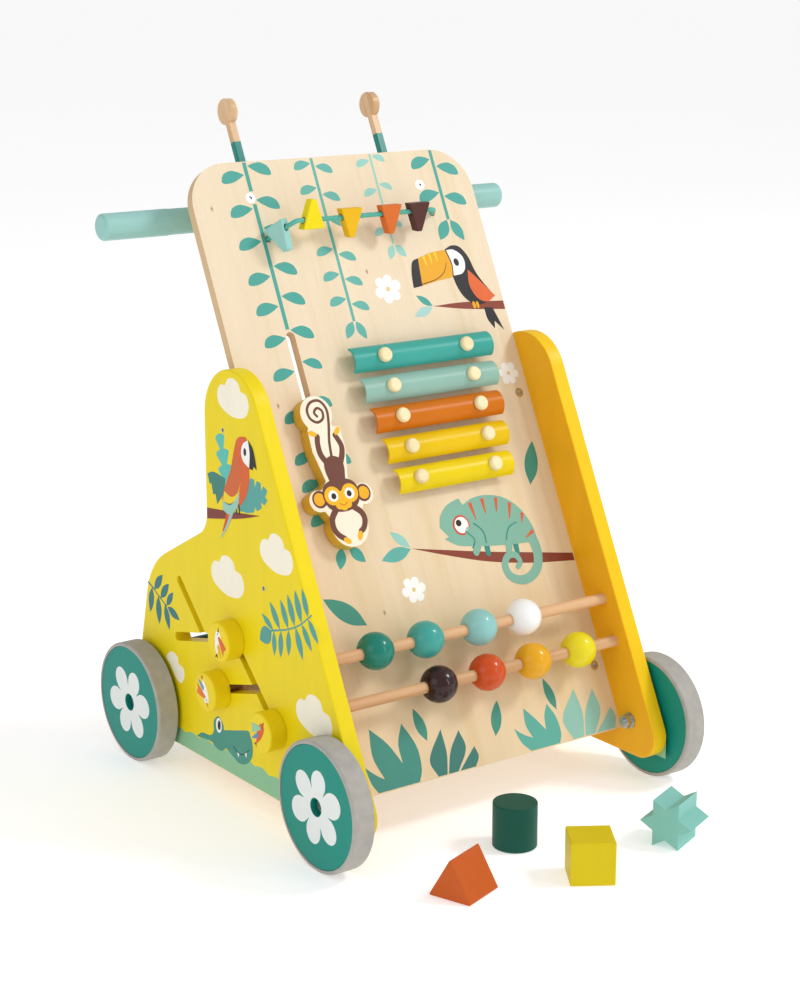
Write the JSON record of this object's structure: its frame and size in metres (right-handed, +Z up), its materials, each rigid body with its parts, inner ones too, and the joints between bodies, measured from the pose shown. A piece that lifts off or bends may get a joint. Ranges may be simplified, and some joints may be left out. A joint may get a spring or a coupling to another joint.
{
  "type": "baby walker",
  "caption": "Wooden push-along walker: leaning activity board between two side panels on rubber-tyred wheels, with handle bar, abacus, chimes, sliders and sorting blocks.",
  "frame": {"origin": "on the floor, under the centre of the whole set's bounding box, blocks included", "axes": "+Z up, -Y is the way the walker is pushed, +X to the right seen from in front of the board"},
  "size_m": [0.387, 0.4726, 0.5375],
  "materials": {
    "birch_board": "clear satin varnish over pale birch plywood",
    "yellow_paint": "lemon yellow paint on wood, satin",
    "amber_paint": "amber yellow paint on wood, satin",
    "pine": "plain sanded softwood",
    "dark_green_paint": "dark green paint on wood, satin",
    "tray_ply": "plain birch plywood",
    "aqua_paint": "pale aqua paint on wood, satin",
    "mallet_wood": "oiled beech with a teal band",
    "beech": "oiled beech",
    "steel": "zinc-plated steel",
    "chime_teal": "teal enamel",
    "chime_aqua": "pale aqua enamel",
    "chime_orange": "orange enamel",
    "chime_yellow": "yellow enamel",
    "chime_lemon": "lemon enamel",
    "pin_wood": "pale turned wood",
    "felt": "grey-white felt",
    "gloss_green": "glossy green lacquer",
    "gloss_teal": "glossy teal lacquer",
    "gloss_aqua": "glossy pale aqua lacquer",
    "gloss_white": "glossy white lacquer",
    "gloss_brown": "glossy dark brown lacquer",
    "gloss_orange": "glossy red-orange lacquer",
    "gloss_amber": "glossy amber lacquer",
    "gloss_yellow": "glossy yellow lacquer",
    "slider_wood": "golden-stained plywood with a printed face",
    "cord_teal": "braided teal cord",
    "flag_aqua": "pale aqua paint, matt",
    "flag_yellow": "yellow paint, matt",
    "flag_amber": "amber paint, matt",
    "flag_orange": "orange paint, matt",
    "flag_brown": "dark brown paint, matt",
    "wheel_green": "green paint on wood, satin",
    "tyre_rubber": "soft light grey rubber",
    "block_green": "dark green paint on wood",
    "block_yellow": "yellow paint on wood",
    "block_orange": "orange paint on wood",
    "block_mint": "mint paint on wood"
  },
  "bodies": {
    "root": {"front_board": "birch_board", "left_side_panel": "yellow_paint", "right_side_panel": "amber_paint", "batten_left": "pine", "batten_right": "pine", "tray_floor": "tray_ply", "tray_rear_wall": "dark_green_paint", "handle_bar": "aqua_paint", "mallet_holder_left": "pine", "mallet_holder_right": "pine", "handle_screws": "steel", "frame_screws": "steel", "chime_bar_1": "chime_teal", "chime_bar_2": "chime_aqua", "chime_bar_3": "chime_orange", "chime_bar_4": "chime_yellow", "chime_bar_5": "chime_lemon", "chime_pins": "pin_wood", "chime_cushions": "felt", "abacus_rods": "beech", "garland_cord": "cord_teal", "garland_knots": "cord_teal", "axle_bolts": "steel", "axle_washers": "steel", "axle_nuts": "steel"},
    "wheel_front_left": {"wheel_disc_front_left": "wheel_green", "tyre_front_left": "tyre_rubber"},
    "wheel_front_right": {"wheel_disc_front_right": "wheel_green", "tyre_front_right": "tyre_rubber"},
    "wheel_rear_left": {"wheel_disc_rear_left": "wheel_green", "tyre_rear_left": "tyre_rubber"},
    "wheel_rear_right": {"wheel_disc_rear_right": "wheel_green", "tyre_rear_right": "tyre_rubber"},
    "bead_green": {"bead_green": "gloss_green"},
    "bead_teal": {"bead_teal": "gloss_teal"},
    "bead_aqua": {"bead_aqua": "gloss_aqua"},
    "bead_white": {"bead_white": "gloss_white"},
    "bead_brown": {"bead_brown": "gloss_brown"},
    "bead_orange": {"bead_orange": "gloss_orange"},
    "bead_amber": {"bead_amber": "gloss_amber"},
    "bead_yellow": {"bead_yellow": "gloss_yellow"},
    "monkey": {"monkey_slider": "slider_wood", "monkey_retainer": "beech"},
    "bird_1": {"bird_knob_1": "yellow_paint", "bird_retainer_1": "beech"},
    "bird_2": {"bird_knob_2": "yellow_paint", "bird_retainer_2": "beech"},
    "bird_3": {"bird_knob_3": "yellow_paint", "bird_retainer_3": "beech"},
    "mallet_left": {"mallet_left": "mallet_wood"},
    "mallet_right": {"mallet_right": "mallet_wood"},
    "flag_aqua": {"flag_aqua": "flag_aqua"},
    "flag_yellow": {"flag_yellow": "flag_yellow"},
    "flag_amber": {"flag_amber": "flag_amber"},
    "flag_orange": {"flag_orange": "flag_orange"},
    "flag_brown": {"flag_brown": "flag_brown"},
    "block_round": {"block_round": "block_green"},
    "block_square": {"block_square": "block_yellow"},
    "block_triangle": {"block_triangle": "block_orange"},
    "block_star": {"block_star": "block_mint"}
  },
  "joints": [
    {"name": "spin_front_left", "type": "hinge", "parent": "root", "child": "wheel_front_left", "pos_m": [-0.1612, -0.08932, 0.05], "axis": [1, 0, 0], "continuous": true},
    {"name": "spin_front_right", "type": "hinge", "parent": "root", "child": "wheel_front_right", "pos_m": [0.1612, -0.08932, 0.05], "axis": [1, 0, 0], "continuous": true},
    {"name": "spin_rear_left", "type": "hinge", "parent": "root", "child": "wheel_rear_left", "pos_m": [-0.1612, 0.18628, 0.05], "axis": [1, 0, 0], "continuous": true},
    {"name": "spin_rear_right", "type": "hinge", "parent": "root", "child": "wheel_rear_right", "pos_m": [0.1612, 0.18628, 0.05], "axis": [1, 0, 0], "continuous": true},
    {"name": "bead_green_slide", "type": "slide", "parent": "root", "child": "bead_green", "axis": [1, 0, 0], "range_m": [-0.0291, 0.0087]},
    {"name": "bead_teal_slide", "type": "slide", "parent": "root", "child": "bead_teal", "axis": [1, 0, 0], "range_m": [-0.0087, 0.011]},
    {"name": "bead_aqua_slide", "type": "slide", "parent": "root", "child": "bead_aqua", "axis": [1, 0, 0], "range_m": [-0.011, 0.0074]},
    {"name": "bead_white_slide", "type": "slide", "parent": "root", "child": "bead_white", "axis": [1, 0, 0], "range_m": [-0.0074, 0.0685]},
    {"name": "bead_brown_slide", "type": "slide", "parent": "root", "child": "bead_brown", "axis": [1, 0, 0], "range_m": [-0.0773, 0.0087]},
    {"name": "bead_orange_slide", "type": "slide", "parent": "root", "child": "bead_orange", "axis": [1, 0, 0], "range_m": [-0.0087, 0.0081]},
    {"name": "bead_amber_slide", "type": "slide", "parent": "root", "child": "bead_amber", "axis": [1, 0, 0], "range_m": [-0.008, 0.0086]},
    {"name": "bead_yellow_slide", "type": "slide", "parent": "root", "child": "bead_yellow", "axis": [1, 0, 0], "range_m": [-0.0086, 0.0237]},
    {"name": "monkey_slide", "type": "slide", "parent": "root", "child": "monkey", "axis": [0, 0.4346, 0.9006], "range_m": [0, 0.0975]},
    {"name": "bird_1_slide", "type": "slide", "parent": "root", "child": "bird_1", "axis": [0, 0.9718, -0.2359], "range_m": [0, 0.0886]},
    {"name": "bird_2_slide", "type": "slide", "parent": "root", "child": "bird_2", "axis": [0, -0.9648, 0.2631], "range_m": [0, 0.028]},
    {"name": "bird_3_slide", "type": "slide", "parent": "root", "child": "bird_3", "axis": [0, 0.7163, 0.6978], "range_m": [0, 0.026]},
    {"name": "mallet_left_lift", "type": "slide", "parent": "root", "child": "mallet_left", "axis": [0, 0.4346, 0.9006], "range_m": [0, 0.09]},
    {"name": "mallet_right_lift", "type": "slide", "parent": "root", "child": "mallet_right", "axis": [0, 0.4346, 0.9006], "range_m": [0, 0.09]},
    {"name": "flag_aqua_swing", "type": "hinge", "parent": "root", "child": "flag_aqua", "pos_m": [-0.07266, 0.09955, 0.43997], "axis": [0.3001, -0.8001, 0.5194], "range_deg": [-20, 40]},
    {"name": "flag_yellow_swing", "type": "hinge", "parent": "root", "child": "flag_yellow", "pos_m": [-0.0441, 0.09672, 0.44754], "axis": [1, 0, 0], "range_deg": [0, 180]},
    {"name": "flag_amber_swing", "type": "hinge", "parent": "root", "child": "flag_amber", "pos_m": [-0.0079, 0.09672, 0.44754], "axis": [1, 0, 0], "range_deg": [-180, 0]},
    {"name": "flag_orange_swing", "type": "hinge", "parent": "root", "child": "flag_orange", "pos_m": [0.0305, 0.09672, 0.44754], "axis": [1, 0, 0], "range_deg": [-180, 0]},
    {"name": "flag_brown_swing", "type": "hinge", "parent": "root", "child": "flag_brown", "pos_m": [0.0585, 0.09672, 0.44754], "axis": [1, 0, 0], "range_deg": [-180, 0]},
    {"name": "block_round_lift", "type": "slide", "parent": "root", "child": "block_round", "axis": [0, 0, 1], "range_m": [0, 0.12]},
    {"name": "block_square_lift", "type": "slide", "parent": "root", "child": "block_square", "axis": [0, 0, 1], "range_m": [0, 0.12]},
    {"name": "block_triangle_lift", "type": "slide", "parent": "root", "child": "block_triangle", "axis": [0, 0, 1], "range_m": [0, 0.12]},
    {"name": "block_star_lift", "type": "slide", "parent": "root", "child": "block_star", "axis": [0, 0, 1], "range_m": [0, 0.12]}
  ]
}
